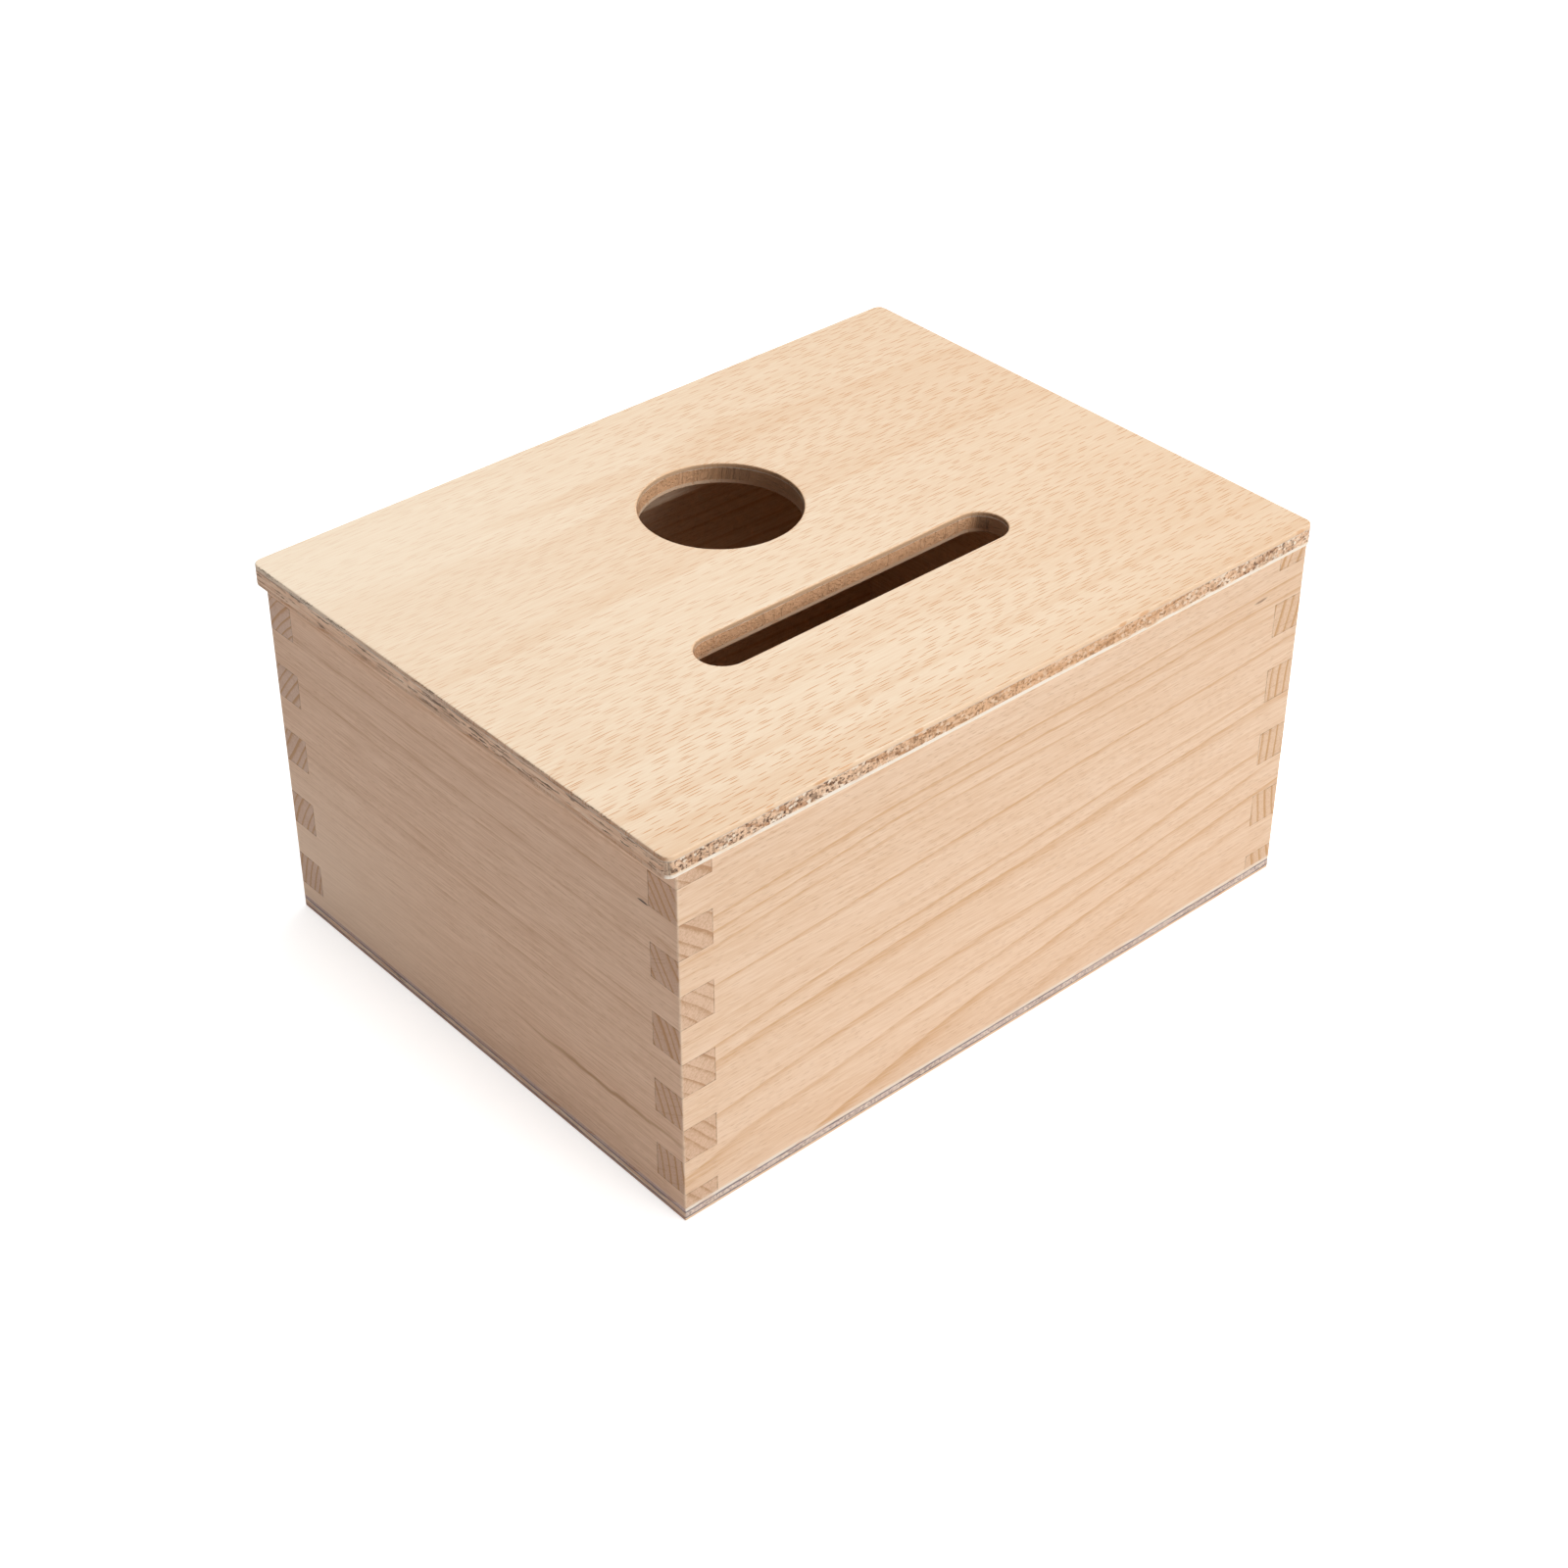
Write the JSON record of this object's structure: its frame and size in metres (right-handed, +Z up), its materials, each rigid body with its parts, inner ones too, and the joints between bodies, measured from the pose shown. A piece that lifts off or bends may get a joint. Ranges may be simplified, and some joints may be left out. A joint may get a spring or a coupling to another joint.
{
  "type": "money box",
  "caption": "Finger-jointed wooden money box with a flush plywood bottom and a loose lift-off plywood lid that has a round hole and a long round-ended slot.",
  "frame": {"origin": "centre of the underside of the bottom panel", "axes": "+X along the long side, -Y towards the front wall, +Z up"},
  "size_m": [0.21, 0.1601, 0.109],
  "materials": {
    "beech_board": "bare sanded beech",
    "beech_batten": "bare planed beech",
    "floor_face_veneer": "bare sanded veneer",
    "floor_core_veneer": "sawn end grain of a veneer",
    "lid_face_veneer": "bare sanded veneer",
    "lid_core_veneer": "sawn end grain of a veneer"
  },
  "bodies": {
    "box": {"front_wall": "beech_board", "right_wall": "beech_board", "back_wall": "beech_board", "left_wall": "beech_board", "floor_lower_ply": "floor_face_veneer", "floor_core_ply": "floor_core_veneer", "floor_upper_ply": "floor_face_veneer"},
    "lid": {"lid_lower_ply": "lid_face_veneer", "lid_core_ply": "lid_core_veneer", "lid_top_ply": "lid_face_veneer", "lid_batten_front": "beech_batten", "lid_batten_back": "beech_batten"}
  },
  "joints": [
    {"name": "lid_lift", "type": "slide", "parent": "box", "child": "lid", "axis": [0, 0, 1], "range_m": [0, 0.12]}
  ]
}
